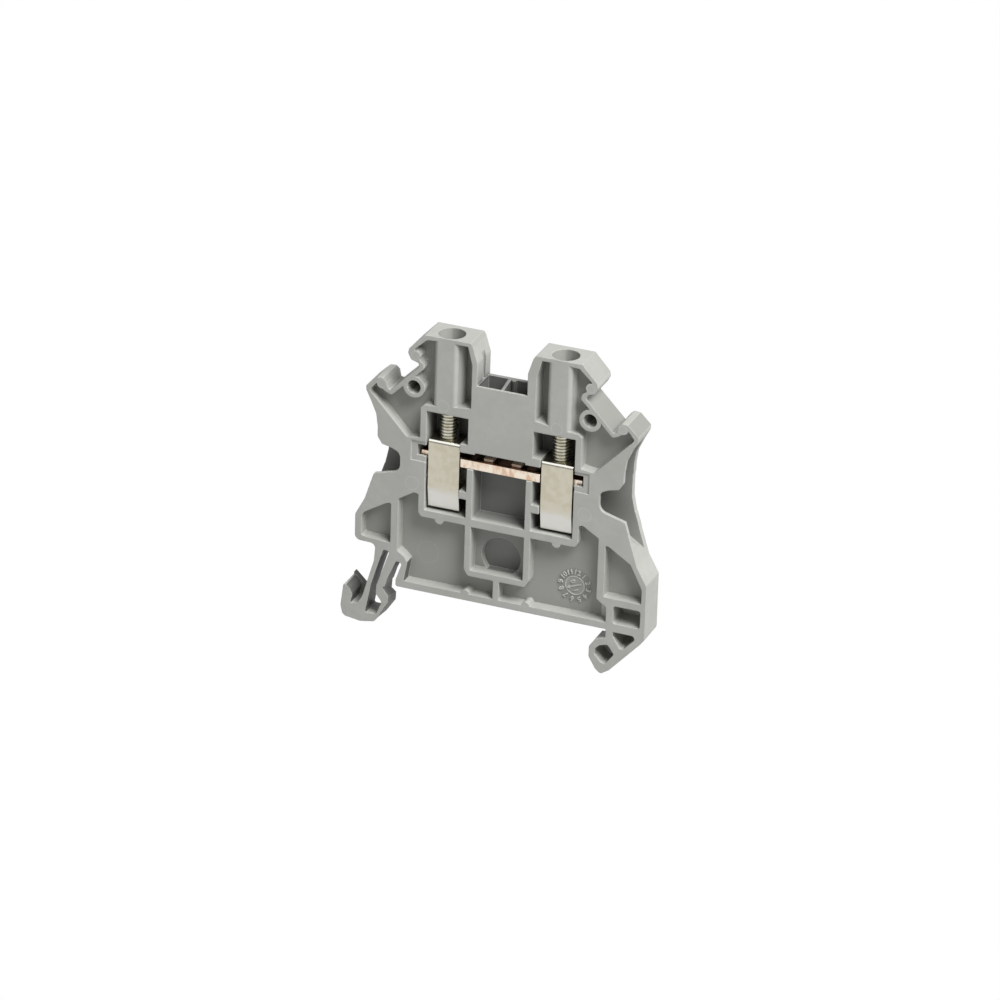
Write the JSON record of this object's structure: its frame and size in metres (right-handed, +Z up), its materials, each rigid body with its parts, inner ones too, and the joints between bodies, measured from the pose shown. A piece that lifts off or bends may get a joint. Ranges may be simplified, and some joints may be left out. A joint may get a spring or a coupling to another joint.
{
  "type": "din rail terminal block",
  "caption": "Grey feed-through screw terminal block that clips onto a 35 mm rail, with clamping sleeves, screws, a copper bar and a sprung latch foot.",
  "frame": {"origin": "middle of the underside that rests on the top of the rail, halfway between the wire entries and halfway through the block's width", "axes": "+X towards the wire entry on the fixed-hook side, +Y along the rail towards the closed wall, +Z up, away from the rail"},
  "size_m": [0.0483, 0.0052, 0.0489],
  "materials": {
    "housing": "grey moulded polyamide, fine matt",
    "copper": "tinned copper, pale and smooth",
    "plated_steel": "zinc-plated strip, satin",
    "screw_steel": "zinc-plated thread"
  },
  "bodies": {
    "housing_body": {"housing": "housing", "current_bar": "copper", "latch_arm_outer": "housing", "latch_arm_inner": "housing"},
    "latch": {"latch_foot": "housing"},
    "sleeve_left": {"clamping_sleeve_left": "plated_steel"},
    "sleeve_right": {"clamping_sleeve_right": "plated_steel"},
    "screw_left": {"clamping_screw_left": "screw_steel"},
    "screw_right": {"clamping_screw_right": "screw_steel"}
  },
  "joints": [
    {"name": "latch_flex", "type": "hinge", "parent": "housing_body", "child": "latch", "pos_m": [-0.0182, 0, 0.0032], "axis": [0, 1, 0], "range_deg": [0, 8], "stiffness_Nm_per_rad": 0.2, "deforming": ["latch_arm_outer", "latch_arm_inner"]},
    {"name": "screw_turn_left", "type": "hinge", "parent": "housing_body", "child": "screw_left", "pos_m": [-0.0089, -0.00038, 0.03], "axis": [0, 0, -1], "range_deg": [0, 2952.5]},
    {"name": "screw_turn_right", "type": "hinge", "parent": "housing_body", "child": "screw_right", "pos_m": [0.0089, -0.00038, 0.03], "axis": [0, 0, -1], "range_deg": [0, 2952.5]},
    {"name": "sleeve_lift_left", "type": "slide", "parent": "housing_body", "child": "sleeve_left", "axis": [0, 0, 1], "range_m": [0, 0.0041]},
    {"name": "sleeve_lift_right", "type": "slide", "parent": "housing_body", "child": "sleeve_right", "axis": [0, 0, 1], "range_m": [0, 0.0041]}
  ],
  "couplings": [
    {"joint": "screw_turn_left", "follows": "sleeve_lift_left", "rad_per_m": 12566},
    {"joint": "screw_turn_right", "follows": "sleeve_lift_right", "rad_per_m": 12566}
  ]
}
